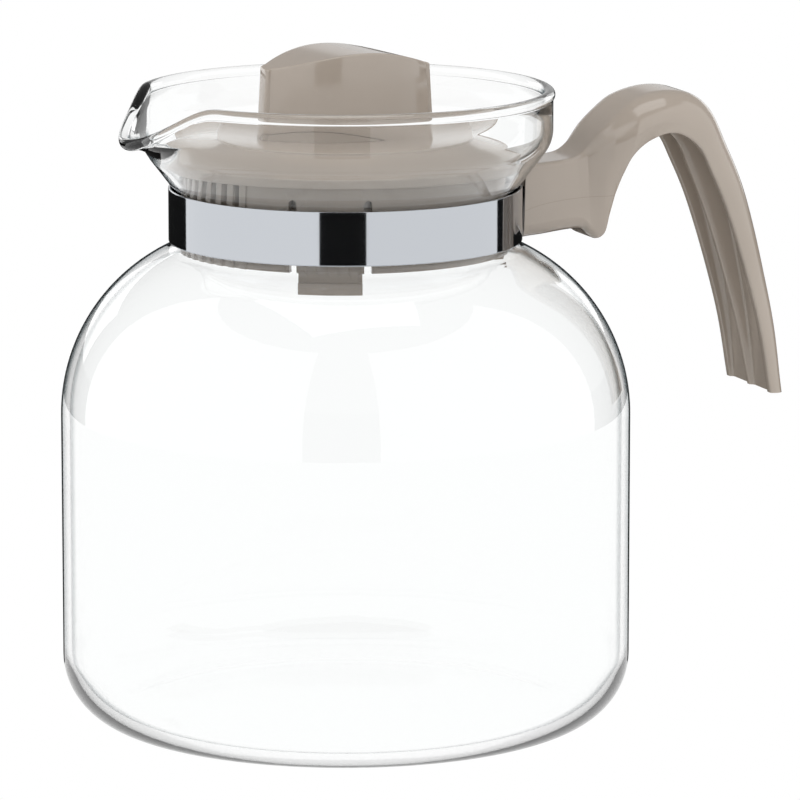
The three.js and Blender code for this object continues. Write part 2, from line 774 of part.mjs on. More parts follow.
function part(name, geometry, material) {
  const mesh = new THREE.Mesh(geometry, material);
  mesh.name = name;
  return mesh;
}

const jug = new THREE.Group();
jug.add(part('glass_jug', glassJug(), glass));

const clamp = new THREE.Group();
clamp.add(part('clamp_band', clampBand(), polishedSteel));
clamp.add(part('clamp_nut', clampNut(), platedSteel));
clamp.add(part('clamp_screw', clampScrew(), platedSteel));
clamp.add(part('clamp_washer', clampWasher(), platedSteel));
clamp.add(part('handle', handle(), taupePlastic));
jug.add(clamp);

const lid = new THREE.Group();
lid.add(part('lid_cover', lidCover(), taupePlastic));
lid.add(part('lid_knob', lidKnob(), taupePlastic));
lid.add(part('strainer_skirt', strainerSkirt(), taupePlastic));
jug.add(lid);

export default jug;
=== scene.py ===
import math

import bmesh
import bpy
import numpy as np
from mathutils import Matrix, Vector


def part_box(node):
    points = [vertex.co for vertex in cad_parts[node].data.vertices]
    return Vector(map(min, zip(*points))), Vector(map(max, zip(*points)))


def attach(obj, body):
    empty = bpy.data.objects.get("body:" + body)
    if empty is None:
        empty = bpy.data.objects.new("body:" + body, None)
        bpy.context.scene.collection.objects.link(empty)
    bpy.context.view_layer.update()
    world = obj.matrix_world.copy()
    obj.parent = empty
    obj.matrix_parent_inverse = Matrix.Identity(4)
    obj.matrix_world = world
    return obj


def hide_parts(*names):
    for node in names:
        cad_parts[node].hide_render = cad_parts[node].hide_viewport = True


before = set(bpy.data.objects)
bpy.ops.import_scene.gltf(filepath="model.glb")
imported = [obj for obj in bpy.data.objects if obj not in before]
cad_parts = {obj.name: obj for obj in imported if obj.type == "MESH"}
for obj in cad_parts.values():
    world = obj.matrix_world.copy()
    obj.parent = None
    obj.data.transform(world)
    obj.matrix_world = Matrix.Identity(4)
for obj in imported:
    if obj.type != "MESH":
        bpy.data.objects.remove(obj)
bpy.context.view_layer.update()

MM = 0.001
DEG = math.pi / 180

# ---- Sizes, in millimetres, in the CAD's frame --------------------------------

BODY_R = 75.0
FOOT_CORNER = 18.0
SHOULDER_Z = 82.0
SHOULDER_R = 48.6
NECK_R = 45.4
NECK_FILLET = 3.0
NECK_LENGTH = 12.7
GLASS_WALL = 2.2
BASE_THICKNESS = 3.2
COLLAR_FLARE = 9.0
FLARE_SLOPE = 53 * DEG
BOWL_R = 10.0
COLLAR_HEIGHT = 25.2
BEAD_R = 1.6
BEAD_OPENING = 50 * DEG
LIP_REACH = 6.4
LIP_DROP = 10.4
LIP_HALF_ANGLE = 33 * DEG
LIP_RISE = 2.6
LIP_BEND_OUT = 6.2
LIP_BEND_DROP = 0.6
LIP_SHARPNESS = 1.3
SEAT_MARGIN = 0.3

BAND_LOW, BAND_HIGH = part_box("clamp_band")
BAND_Z0 = BAND_LOW.z / MM
BAND_Z1 = BAND_HIGH.z / MM
BAND_MIDDLE_Z = (BAND_Z0 + BAND_Z1) / 2
BAND_OUTER_R = BAND_HIGH.y / MM
BAND_THICKNESS = 0.6
BAND_EDGE_ROUND = 0.22
EAR_END = BAND_HIGH.x / MM
EAR_Y = 3.4
EAR_BEND = 1.6
EAR_HALF_HEIGHT = 4.7

COVER_LOW, COVER_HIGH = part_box("lid_cover")
FLANGE_R = COVER_HIGH.x / MM
PLATFORM_Z = COVER_HIGH.z / MM
SPIGOT_Z0 = COVER_LOW.z / MM
PLATFORM_R = 33.5
PLATFORM_STEP = 0.7
CONE_RISE = 3.6
FLANGE_THICKNESS = 2.5
COMB_HALF = 32.7 * DEG
COMB_EDGE_R = 42.6
COMB_RIBS = 13
COMB_RIB_REACH = 1.5
COMB_STEP = 0.6 * DEG
LID_WALL = 2.4
COVER_EDGE_ROUND = 0.45
CONE_MARGIN = 1.2
SPIGOT_R = 38.7
SPIGOT_WALL = 1.6
SNAP_R = 40.1
SNAP_LENGTH = 5.1
SQUEEZE_R = 40.8
SQUEEZE_DEPTH = 9.0

KNOB_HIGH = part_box("lid_knob")[1].z / MM
KNOB_HALF_LENGTH = 23.2
KNOB_HALF_WIDTH = 13.6
KNOB_END_HALF_WIDTH = 2.2
KNOB_FALL = 0.0106
KNOB_FALL_EASE = 4.3e-6
KNOB_SKEW = 0.2
KNOB_TAPER = 0.055
KNOB_WALL = 2.0
KNOB_CORNER = 1.2
KNOB_EDGE_ROUND = 0.35
KNOB_INNER_ROUND = 0.5
KNOB_CEILING_EXTRA = 0.6
KNOB_FOOT_GAP = 0.02
KNOB_TURN = -4 * DEG

VIEW_SIDE = -110 * DEG  # the side of the jug that the camera stands on, round from +X


# ---- Mesh helpers ---------------------------------------------------------------

def arc(cx, cz, radius, start, end, steps):
    """Points of an arc in the [radius, height] plane, both ends included."""
    angles = np.linspace(start, end, steps + 1)
    return [(cx + radius * math.cos(a), cz + radius * math.sin(a)) for a in angles]


def smoothstep(low, high, x):
    t = min(max((x - low) / (high - low), 0.0), 1.0)
    return t * t * (3 - 2 * t)


def grid_faces(rows, columns, closed_rows=False, closed_columns=False):
    """Quads between equal rows of points."""
    faces = []
    for i in range(rows if closed_rows else rows - 1):
        for j in range(columns if closed_columns else columns - 1):
            a, b = i * columns, ((i + 1) % rows) * columns
            k = (j + 1) % columns
            faces.append((a + j, a + k, b + k, b + j))
    return faces


def make_piece(name, points, faces, material, body, stands_for, sharp=35.0):
    """A closed mesh from points in millimetres, riding on a CAD body in place of a CAD node."""
    mesh = bpy.data.meshes.new(name)
    mesh.from_pydata([tuple(c * MM for c in p) for p in points], [], faces)
    bm = bmesh.new()
    bm.from_mesh(mesh)
    bmesh.ops.remove_doubles(bm, verts=bm.verts, dist=1e-7)
    bmesh.ops.dissolve_degenerate(bm, edges=bm.edges, dist=1e-8)
    bmesh.ops.recalc_face_normals(bm, faces=bm.faces)
    finish_mesh(bm, mesh, sharp)
    return place(mesh, name, material, body, stands_for)


def finish_mesh(bm, mesh, sharp):
    for face in bm.faces:
        face.smooth = True
    for edge in bm.edges:
        if len(edge.link_faces) == 2:
            edge.smooth = edge.calc_face_angle(0.0) < sharp * DEG
    bm.to_mesh(mesh)
    bm.free()


def place(mesh, name, material, body, stands_for):
    piece = bpy.data.objects.new(name, mesh)
    bpy.context.scene.collection.objects.link(piece)
    mesh.materials.clear()
    mesh.materials.append(material)
    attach(piece, body)
    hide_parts(stands_for)
    return piece


def refined_copy(node, name, material, body, bevel, sharp=32.0):
    """A CAD node's solid with its small edges rounded and its curved faces shaded smoothly."""
    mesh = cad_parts[node].data.copy()
    mesh.name = name
    bm = bmesh.new()
    bm.from_mesh(mesh)
    bmesh.ops.remove_doubles(bm, verts=bm.verts, dist=2e-6)
    bmesh.ops.dissolve_limit(bm, angle_limit=1.5 * DEG, verts=bm.verts, edges=bm.edges)
    shared = [edge for edge in bm.edges if len(edge.link_faces) == 2]
    corners = [edge for edge in shared if edge.calc_face_angle(0.0) > sharp * DEG]
    bmesh.ops.bevel(bm, geom=corners, offset=bevel * MM, segments=2, profile=0.5,
                    affect="EDGES", clamp_overlap=True)
    finish_mesh(bm, mesh, sharp)
    return place(mesh, name, material, body, node)


def cut_by(piece, cutters):
    """Takes closed cutter meshes out of a piece."""
    for cutter in cutters:
        modifier = piece.modifiers.new("cut", "BOOLEAN")
        modifier.operation = "DIFFERENCE"
        modifier.solver = "EXACT"
        modifier.object = cutter
    bpy.context.view_layer.update()
    evaluated = piece.evaluated_get(bpy.context.evaluated_depsgraph_get())
    result = bpy.data.meshes.new_from_object(evaluated)
    piece.modifiers.clear()
    piece.data = result
    for cutter in cutters:
        bpy.data.objects.remove(cutter)


def cutter_object(bm):
    mesh = bpy.data.meshes.new("cutter")
    bm.to_mesh(mesh)
    bm.free()
    cutter = bpy.data.objects.new("cutter", mesh)
    bpy.context.scene.collection.objects.link(cutter)
    return cutter


def cutter_box(low, high):
    bm = bmesh.new()
    bmesh.ops.create_cube(bm, size=1.0)
    for vertex in bm.verts:
        for axis in range(3):
            vertex.co[axis] = (low[axis] if vertex.co[axis] < 0 else high[axis]) * MM
    return cutter_object(bm)


def cutter_cylinder_x(radius, start, end, z):
    bm = bmesh.new()
    bmesh.ops.create_cone(bm, cap_ends=True, segments=48, radius1=radius * MM,
                          radius2=radius * MM, depth=(end - start) * MM)
    for vertex in bm.verts:
        x, y, along = vertex.co
        vertex.co = (along + (start + end) / 2 * MM, y, x + z * MM)
    bmesh.ops.recalc_face_normals(bm, faces=bm.faces)
    return cutter_object(bm)


# ---- Materials --------------------------------------------------------------------

def new_material(name):
    material = bpy.data.materials.new(name)
    material.use_nodes = True
    nodes = material.node_tree.nodes
    return material, nodes, material.node_tree.links, nodes["Principled BSDF"]


def glass_material():
    """Clear glass with painted shade at its rims: where the surface is seen edge-on its colour darkens
    through a faint grey-green to near black.
    """
    material, nodes, links, shader = new_material("clear_glass")
    shader.inputs["Roughness"].default_value = 0.0
    shader.inputs["IOR"].default_value = 1.47
    shader.inputs["Transmission Weight"].default_value = 1.0
    facing = nodes.new("ShaderNodeLayerWeight")
    facing.inputs["Blend"].default_value = 0.5
    # Painted shade: this colour by facing darkens the glass to near black along its edge-on rims,
    # standing in for the dark lines that reflection and refraction give there.
    edge_shade_ramp = nodes.new("ShaderNodeValToRGB")
    edge_shade_ramp.color_ramp.elements[0].position = 0.8
    edge_shade_ramp.color_ramp.elements[0].color = (0.992, 0.998, 0.997, 1)
    edge_shade_ramp.color_ramp.elements[1].position = 0.91
    edge_shade_ramp.color_ramp.elements[1].color = (0.01, 0.016, 0.02, 1)
    middle = edge_shade_ramp.color_ramp.elements.new(0.86)
    middle.color = (0.2, 0.24, 0.25, 1)
    links.new(facing.outputs["Facing"], edge_shade_ramp.inputs["Fac"])
    links.new(edge_shade_ramp.outputs["Color"], shader.inputs["Base Color"])
    wave = nodes.new("ShaderNodeTexNoise")
    wave.inputs["Scale"].default_value = 9.0
    wave.inputs["Detail"].default_value = 1.0
    bump = nodes.new("ShaderNodeBump")
    bump.inputs["Strength"].default_value = 0.025
    bump.inputs["Distance"].default_value = 0.002
    place_at = nodes.new("ShaderNodeTexCoord")
    links.new(place_at.outputs["Object"], wave.inputs["Vector"])
    links.new(wave.outputs["Fac"], bump.inputs["Height"])
    links.new(bump.outputs["Normal"], shader.inputs["Normal"])
    return material


def plastic_material(name, seam=False):
    """Glossy moulded plastic: faint flow clouds in the colour, and a fine orange peel in the gloss."""
    material, nodes, links, shader = new_material(name)
    place_at = nodes.new("ShaderNodeTexCoord")
    flow = nodes.new("ShaderNodeTexNoise")
    flow.inputs["Scale"].default_value = 38.0
    flow.inputs["Detail"].default_value = 3.0
    colour = nodes.new("ShaderNodeValToRGB")
    colour.color_ramp.elements[0].position = 0.3
    colour.color_ramp.elements[0].color = (0.365, 0.312, 0.262, 1)
    colour.color_ramp.elements[1].position = 0.75
    colour.color_ramp.elements[1].color = (0.395, 0.338, 0.286, 1)
    links.new(place_at.outputs["Object"], flow.inputs["Vector"])
    links.new(flow.outputs["Fac"], colour.inputs["Fac"])
    shader.inputs["IOR"].default_value = 1.56
    shader.inputs["Specular IOR Level"].default_value = 0.62
    rough = nodes.new("ShaderNodeMapRange")
    rough.inputs["To Min"].default_value = 0.09
    rough.inputs["To Max"].default_value = 0.15
    links.new(flow.outputs["Fac"], rough.inputs["Value"])
    links.new(rough.outputs["Result"], shader.inputs["Roughness"])
    peel = nodes.new("ShaderNodeTexNoise")
    peel.inputs["Scale"].default_value = 420.0
    peel.inputs["Detail"].default_value = 2.0
    links.new(place_at.outputs["Object"], peel.inputs["Vector"])
    bump = nodes.new("ShaderNodeBump")
    bump.inputs["Strength"].default_value = 0.06
    bump.inputs["Distance"].default_value = 0.0001
    links.new(peel.outputs["Fac"], bump.inputs["Height"])
    if seam:
        line = seam_line(nodes, links, place_at)
        dark = nodes.new("ShaderNodeMix")
        dark.data_type = "RGBA"
        dark.inputs[7].default_value = (0.25, 0.21, 0.17, 1)
        links.new(line, dark.inputs["Factor"])
        links.new(colour.outputs["Color"], dark.inputs[6])
        links.new(dark.outputs[2], shader.inputs["Base Color"])
        groove = nodes.new("ShaderNodeBump")
        groove.invert = True
        groove.inputs["Strength"].default_value = 0.5
        groove.inputs["Distance"].default_value = 0.0001
        links.new(line, groove.inputs["Height"])
        links.new(bump.outputs["Normal"], groove.inputs["Normal"])
        links.new(groove.outputs["Normal"], shader.inputs["Normal"])
    else:
        links.new(colour.outputs["Color"], shader.inputs["Base Color"])
        links.new(bump.outputs["Normal"], shader.inputs["Normal"])
    return material


# The parting line on the arm, in metres: it starts lower at the arm's front and soon levels off.
SEAM_START_X, SEAM_END_X = 0.049, 0.0738
SEAM_Z = 0.1373
SEAM_DROP = 0.0026
SEAM_FADE = 0.008
SEAM_HALF_WIDTH = 0.00012


def seam_line(nodes, links, place_at):
    """Above 0 on the parting line along the arm's sides, 0 elsewhere."""
    split = nodes.new("ShaderNodeSeparateXYZ")
    links.new(place_at.outputs["Object"], split.inputs["Vector"])

    def maths(operation, *values):
        node = nodes.new("ShaderNodeMath")
        node.operation = operation
        for socket, value in zip(node.inputs, values):
            if isinstance(value, (int, float)):
                socket.default_value = value
            else:
                links.new(value, socket)
        return node.outputs[0]

    out = maths("SUBTRACT", split.outputs["X"], SEAM_START_X)
    fade = maths("EXPONENT", maths("MULTIPLY", out, -1 / SEAM_FADE))
    height = maths("SUBTRACT", SEAM_Z, maths("MULTIPLY", fade, SEAM_DROP))
    away = maths("ABSOLUTE", maths("SUBTRACT", split.outputs["Z"], height))
    near = maths("SUBTRACT", 1.0, maths("DIVIDE", away, SEAM_HALF_WIDTH))
    on_arm = maths("LESS_THAN", split.outputs["X"], SEAM_END_X)
    return maths("MULTIPLY", maths("MAXIMUM", near, 0.0), maths("MULTIPLY", on_arm, 0.55))


def steel_material(name, colour, roughness, brush):
    """Polished or plated steel, with faint lines along its length in the gloss."""
    material, nodes, links, shader = new_material(name)
    shader.inputs["Base Color"].default_value = colour
    shader.inputs["Metallic"].default_value = 1.0
    place_at = nodes.new("ShaderNodeTexCoord")
    stretch = nodes.new("ShaderNodeMapping")
    stretch.inputs["Scale"].default_value = (12, 12, 2600)
    links.new(place_at.outputs["Object"], stretch.inputs["Vector"])
    lines = nodes.new("ShaderNodeTexNoise")
    lines.inputs["Scale"].default_value = 1.0
    lines.inputs["Detail"].default_value = 2.0
    links.new(stretch.outputs["Vector"], lines.inputs["Vector"])
    rough = nodes.new("ShaderNodeMapRange")
    rough.inputs["To Min"].default_value = roughness
    rough.inputs["To Max"].default_value = roughness + brush
    links.new(lines.outputs["Fac"], rough.inputs["Value"])
    links.new(rough.outputs["Result"], shader.inputs["Roughness"])
    bump = nodes.new("ShaderNodeBump")
    bump.inputs["Strength"].default_value = 0.05
    bump.inputs["Distance"].default_value = 0.00002
    links.new(lines.outputs["Fac"], bump.inputs["Height"])
    links.new(bump.outputs["Normal"], shader.inputs["Normal"])
    return material


# ---- Glass jug ------------------------------------------------------------------------

CONE_TANGENT = math.tan(FLARE_SLOPE)
SHOULDER_CENTRE_R = BODY_R - SHOULDER_R
NECK_FOOT_Z = SHOULDER_Z + math.sqrt(
    (SHOULDER_R + NECK_FILLET) ** 2 - (NECK_R + NECK_FILLET - SHOULDER_CENTRE_R) ** 2)
NECK_TOP_Z = NECK_FOOT_Z + NECK_LENGTH
COLLAR_R = NECK_R + COLLAR_FLARE
RIM_Z = NECK_TOP_Z + COLLAR_HEIGHT
RIM_R = COLLAR_R - GLASS_WALL / 2
CONE_FOOT_R = NECK_R + NECK_FILLET * (1 - math.sin(FLARE_SLOPE))
CONE_FOOT_Z = NECK_TOP_Z + NECK_FILLET * math.cos(FLARE_SLOPE)


def cone_height(radius, inset):
    """The height of the collar's cone at a radius, for a face set in from the outer one."""
    return CONE_FOOT_Z + (radius - CONE_FOOT_R) * CONE_TANGENT + inset / math.cos(FLARE_SLOPE)


def collar_face(offset, steps):
    centre_r = COLLAR_R - BOWL_R
    end_r = centre_r + BOWL_R * math.sin(FLARE_SLOPE)
    centre_z = cone_height(end_r, 0) + BOWL_R * math.cos(FLARE_SLOPE)
    fillet = arc(NECK_R + NECK_FILLET, NECK_TOP_Z, NECK_FILLET + offset,
                 math.pi, math.pi / 2 + FLARE_SLOPE, steps)
    seat = seat_point(offset)
    bowl = arc(centre_r, centre_z, BOWL_R - offset, FLARE_SLOPE - math.pi / 2, 0, steps)
    near_seat = between(fillet[-1], seat, 0.1)
    cone = [between(seat, bowl[0], share) for share in (0.33, 0.66, 0.95)]
    wall_r, wall_foot = bowl[-1]
    wall_rise = RIM_Z - BEAD_R * math.sin(BEAD_OPENING) - wall_foot
    wall = [(wall_r, wall_foot + share * wall_rise) for share in (0.08, 0.5, 0.96)]
    return fillet + [near_seat, seat] + cone + bowl + wall


def between(a, b, share):
    return (a[0] + (b[0] - a[0]) * share, a[1] + (b[1] - a[1]) * share)


def seat_point(offset):
    """Just outside the lid's flange, where the seat ends, on a face set in by an offset."""
    inset = GLASS_WALL - offset
    radius = FLANGE_R + SEAT_MARGIN
    height = cone_height(radius, GLASS_WALL)
    return (radius + inset * math.sin(FLARE_SLOPE), height - inset * math.cos(FLARE_SLOPE))


def lip_face(offset, steps):
    """The collar's section in the lip's plane: it leaves the plain collar above the lid's seat."""
    plain = collar_face(offset, steps)
    upper = steps + 7
    p0 = np.array(seat_point(GLASS_WALL / 2))
    p1 = p0 + LIP_RISE * np.array([math.cos(FLARE_SLOPE), math.sin(FLARE_SLOPE)])
    p3 = np.array([RIM_R + LIP_REACH, RIM_Z - LIP_DROP])
    p2 = np.array([NECK_R + LIP_BEND_OUT, p3[1] - LIP_BEND_DROP])
    points = []
    for i in range(upper):
        t = (i + 1) / (upper + 1)
        point = (1 - t) ** 3 * p0 + 3 * t * (1 - t) ** 2 * p1 + 3 * t * t * (1 - t) * p2 + t ** 3 * p3
        tangent = (1 - t) ** 2 * (p1 - p0) + 2 * t * (1 - t) * (p2 - p1) + t * t * (p3 - p2)
        tangent = tangent / np.linalg.norm(tangent)
        shift = GLASS_WALL / 2 - offset
        points.append((point[0] + tangent[1] * shift, point[1] - tangent[0] * shift))
    return plain[:-upper] + points


def glass_profiles():
    """The jug's closed section away from the lip, and in the lip's plane, point for point."""
    inner_corner = FOOT_CORNER - GLASS_WALL
    shoulder_end = math.atan2(NECK_FOOT_Z - SHOULDER_Z, NECK_R + NECK_FILLET - SHOULDER_CENTRE_R)
    foot_r = BODY_R - FOOT_CORNER
    fillet_r = NECK_R + NECK_FILLET
    below_out = [(0.0, 0.0), (foot_r * 0.5, 0.0)]
    below_out += arc(foot_r, FOOT_CORNER, FOOT_CORNER, -math.pi / 2, 0, 20)
    below_out += [(BODY_R, FOOT_CORNER + 1), (BODY_R, SHOULDER_Z - 1)]
    below_out += arc(SHOULDER_CENTRE_R, SHOULDER_Z, SHOULDER_R, 0, shoulder_end, 36)
    below_out += arc(fillet_r, NECK_FOOT_Z, NECK_FILLET, math.pi + shoulder_end, math.pi, 8)[1:]
    below_out += [(NECK_R, NECK_FOOT_Z + 0.4), (NECK_R, NECK_TOP_Z - 0.4)]
    below_in = [(NECK_R - GLASS_WALL, NECK_TOP_Z - 0.4), (NECK_R - GLASS_WALL, NECK_FOOT_Z + 0.4)]
    below_in += arc(fillet_r, NECK_FOOT_Z, NECK_FILLET + GLASS_WALL, math.pi, math.pi + shoulder_end, 8)
    below_in += arc(SHOULDER_CENTRE_R, SHOULDER_Z, SHOULDER_R - GLASS_WALL, shoulder_end, 0, 36)[1:]
    below_in += [(BODY_R - GLASS_WALL, SHOULDER_Z - 1), (BODY_R - GLASS_WALL, FOOT_CORNER + 4)]
    below_in += arc(foot_r, BASE_THICKNESS + inner_corner, inner_corner, 0, -math.pi / 2, 20)
    below_in += [(foot_r * 0.5, BASE_THICKNESS), (0.0, BASE_THICKNESS)]
    outer = collar_face(0, 10)
    inner = collar_face(GLASS_WALL, 10)[::-1]
    bead = arc(RIM_R, RIM_Z, BEAD_R, -BEAD_OPENING, math.pi + BEAD_OPENING, 20)
    lip_outer = lip_face(0, 10)
    lip_inner = lip_face(GLASS_WALL, 10)[::-1]
    lip_bead = arc(RIM_R + LIP_REACH, RIM_Z - LIP_DROP, BEAD_R, -120 * DEG, 160 * DEG, 20)
    plain = below_out + outer + bead + inner + below_in
    pulled = below_out + lip_outer + lip_bead + lip_inner + below_in
    return plain, pulled


def lip_pull(angle):
    share = min(abs(angle) / LIP_HALF_ANGLE, 1.0)
    return (1 + math.cos(math.pi * share)) / 2


def build_glass(material):
    plain, pulled = glass_profiles()
    steps = 288
    points = []
    for k in range(steps):
        angle = 2 * math.pi * k / steps - math.pi
        pull = lip_pull(angle)
        for (r0, z0), (r1, z1) in zip(plain, pulled):
            r = r0 + (r1 - r0) * pull ** LIP_SHARPNESS
            z = z0 + (z1 - z0) * pull
            points.append((-r * math.cos(angle), -r * math.sin(angle), z))
    faces = grid_faces(steps, len(plain), closed_rows=True)
    make_piece("jug_glass", points, faces, material, "jug", "glass_jug", sharp=60)


# ---- Handle ---------------------------------------------------------------------------

# Along the handle: (outer out, outer up, inner out, inner up, outer half width, inner half width,
# corner radius), out from the band's face and up from the band's middle.
ARM_HALF, ARCH_HALF, GRIP_HALF = 8.0, 12.4, 15.0
HANDLE_STATIONS = [
    (-2.4, 10.7, -2.4, -8.6, ARM_HALF, ARM_HALF, 1.2),
    (7.6, 11.4, 7.6, -7.9, ARM_HALF, ARM_HALF, 1.2),
    (15.6, 12.5, 17.9, -7.0, ARM_HALF, ARM_HALF, 1.4),
    (18.6, 14.5, 20.0, -8.9, ARM_HALF + 0.4, ARM_HALF, 2.0),
    (20.7, 16.9, 22.0, -9.7, ARM_HALF + 1.6, ARM_HALF, 3.0),
    (22.8, 19.3, 23.8, -8.5, ARM_HALF + 3.0, ARM_HALF, 4.0),
    (25.0, 21.4, 25.3, -3.4, ARCH_HALF, ARM_HALF, 5.5),
    (27.8, 23.8, 26.7, 1.9, ARCH_HALF + 1.2, ARM_HALF + 0.4, 7.0),
    (31.8, 26.7, 28.2, 7.0, GRIP_HALF - 0.3, ARM_HALF + 1.8, 8.5),
    (37.1, 28.5, 30.6, 13.1, GRIP_HALF, ARCH_HALF, 9.0),
    (42.6, 29.1, 35.2, 17.3, GRIP_HALF, GRIP_HALF - 0.4, 9.0),
    (48.6, 28.0, 41.6, 18.5, GRIP_HALF, GRIP_HALF, 9.0),
    (53.4, 24.2, 47.8, 14.8, GRIP_HALF, GRIP_HALF, 8.5),
    (57.8, 15.0, 52.2, 6.8, GRIP_HALF, GRIP_HALF, 7.5),
    (63.1, 1.9, 56.9, -4.1, GRIP_HALF, GRIP_HALF, 6.5),
    (71.0, -32.0, 65.8, -33.6, GRIP_HALF, GRIP_HALF, 4.8),
    (73.6, -53.2, 69.4, -53.0, GRIP_HALF, GRIP_HALF, 3.0),
]
LAST_STATION = len(HANDLE_STATIONS) - 1
CHANNEL_START = 10.6
CHANNEL_DEEP = 12.5
GRIP_WALL = 2.6
WEB = 3.0
RIB_HALF = 0.9
RIB_START = 11.5
RIB_RISE = 1.2
RIB_NOSE = 0.3
RIB_FLARE = 0.25
RIB_FILLET = 0.7
CHANNEL_LIP = 0.35
EDGE_ROUND = 0.6
ARM_EXTRA_ROUND = 2.6
ARM_ROUND_ENDS = (2.6, 5.5)
SADDLE_GAP = 1.6
SLOT_HALF_WIDTH = 4.9
SLOT_HALF_HEIGHT = 5.0
SCREW_HOLE_R = 2.0
SCREW_HOLE_LENGTH = 7.6
HEAD_WELL_R = 4.4
HEAD_WELL_LENGTH = 20.0


def spline(columns, t):
    """A centripetal Catmull-Rom curve through the stations, t counting stations."""
    points = [np.array([station[c] for c in columns]) for station in HANDLE_STATIONS]
    first = 2 * points[0] - points[1]
    last = 2 * points[-1] - points[-2]
    padded = [first] + points + [last]
    i = min(int(t), LAST_STATION - 1)
    u = t - i
    p0, p1, p2, p3 = padded[i:i + 4]
    d1, d2, d3 = (max(np.linalg.norm(b - a) ** 0.5, 1e-4) for a, b in ((p0, p1), (p1, p2), (p2, p3)))
    m1 = (p1 - p0) / d1 - (p2 - p0) / (d1 + d2) + (p2 - p1) / d2
    m2 = (p2 - p1) / d2 - (p3 - p1) / (d2 + d3) + (p3 - p2) / d3
    m1, m2 = m1 * d2, m2 * d2
    h00 = 2 * u ** 3 - 3 * u ** 2 + 1
    h10 = u ** 3 - 2 * u ** 2 + u
    return h00 * p1 + h10 * m1 + (1 - h00) * p2 + (u ** 3 - u ** 2) * m2


def station_value(column, t):
    values = [station[column] for station in HANDLE_STATIONS]
    return float(np.interp(t, range(len(values)), values))


def handle_section(t, depth):
    """Half of the handle's section as [y, depth] points, from the middle of the inner face
    round the edge to the middle of the outer face."""
    outer_half, inner_half = station_value(4, t), station_value(5, t)
    radius = min(station_value(6, t), depth - 1)
    floor = smoothstep(CHANNEL_START, CHANNEL_DEEP, t) * (depth - WEB)
    share = max((t - RIB_START) / (LAST_STATION - RIB_START), 0)
    crest = -RIB_RISE * math.sin(math.pi * share)
    inside = inner_half - GRIP_WALL
    corner = min(0.6 * floor, max(station_value(6, t) - 1.5, 1))
    foot = min(0.5 * (floor - crest), RIB_FILLET)
    nose = min(RIB_NOSE, 0.2 * (floor - crest) + 0.01)
    lip = min(CHANNEL_LIP, 0.3 * floor + 0.01)
    edge = EDGE_ROUND + ARM_EXTRA_ROUND * (1 - smoothstep(*ARM_ROUND_ENDS, t))
    half = [(0.0, crest), (RIB_HALF - nose, crest)]
    half += arc(RIB_HALF - nose, crest + nose, nose, -math.pi / 2, 0, 3)[1:]
    root = RIB_HALF + RIB_FLARE
    half += [(root, floor - foot)]
    half += [(root + foot * (1 - math.cos(a)), floor - foot * (1 - math.sin(a)))
             for a in np.linspace(0, math.pi / 2, 4)[1:]]
    half += [(y, floor) for y in np.linspace(root + foot, inside - corner, 8)[1:-1]]
    half += arc(inside - corner, floor - corner, corner, math.pi / 2, 0, 6)
    half += arc(inside + lip, lip, lip, math.pi, 3 * math.pi / 2, 3)
    half += arc(inner_half - edge, edge, edge, -math.pi / 2, 0, 4)
    side_top = depth - radius
    widen, rise = outer_half - inner_half, side_top - edge
    half += [(inner_half + widen * s, edge + rise * s) for s in (0.02, 0.3, 0.7, 0.98)]
    half += arc(outer_half - radius, side_top, radius, 0, math.pi / 2, 12)
    half += [(y, depth) for y in np.linspace(outer_half - radius, 0, 6)[1:]]
    return half


def saddle_out(y, z):
    """How far out from the axis the arm's front face stands at a height."""
    radius = BAND_OUTER_R + SADDLE_GAP
    cone = radius + (z - cone_height(radius, -SADDLE_GAP / 2)) / CONE_TANGENT
    return math.sqrt(max(radius, cone) ** 2 - y * y)


def handle_rows():
    """Rings of points along the handle, from the saddle at the band to the end of the grip."""
    arm_end = 2.0
    grip = np.linspace(arm_end, LAST_STATION, 12 * (LAST_STATION - 1) + 1)
    arm = np.linspace(0.33, arm_end, 12)[:-1]
    rows = []
    for t in list(arm) + list(grip):
        top, bottom = spline((0, 1), t), spline((2, 3), t)
        along = top - bottom
        depth = float(np.linalg.norm(along))
        along = along / depth
        half = handle_section(t, depth)
        ring = half + [(-y, a) for y, a in half[-2:0:-1]]
        row = []
        for y, a in ring:
            x = BAND_OUTER_R + bottom[0] + along[0] * a
            z = BAND_MIDDLE_Z + bottom[1] + along[1] * a
            if t < arm_end:
                share = (arm_end - t) / (arm_end - arm[0])
                x += (saddle_out(y, z) - x) * share ** 2
            row.append((x, y, z))
        rows.append(row)
    return rows


def build_handle(material):
    """The moulding, less the slot for the ears, the screw's hole and the well for its head."""
    rows = handle_rows()
    points = [p for row in rows for p in row]
    count = len(rows[0])
    faces = grid_faces(len(rows), count, closed_columns=True)
    faces.append(tuple(range(count)))
    faces.append(tuple(range(len(points) - count, len(points))))
    piece = make_piece("handle_moulding", points, faces, material, "jug", "handle",
                       sharp=38)
    slot_end = EAR_END + 0.5
    seat = slot_end + SCREW_HOLE_LENGTH
    slot_low = (BAND_OUTER_R - 3, -SLOT_HALF_WIDTH, BAND_MIDDLE_Z - SLOT_HALF_HEIGHT)
    slot_high = (slot_end, SLOT_HALF_WIDTH, BAND_MIDDLE_Z + SLOT_HALF_HEIGHT)
    cut_by(piece, [
        cutter_box(slot_low, slot_high),
        cutter_cylinder_x(SCREW_HOLE_R, slot_end - 1, seat + 1, BAND_MIDDLE_Z),
        cutter_cylinder_x(HEAD_WELL_R, seat, seat + HEAD_WELL_LENGTH, BAND_MIDDLE_Z),
    ])


# ---- Steel band -----------------------------------------------------------------------

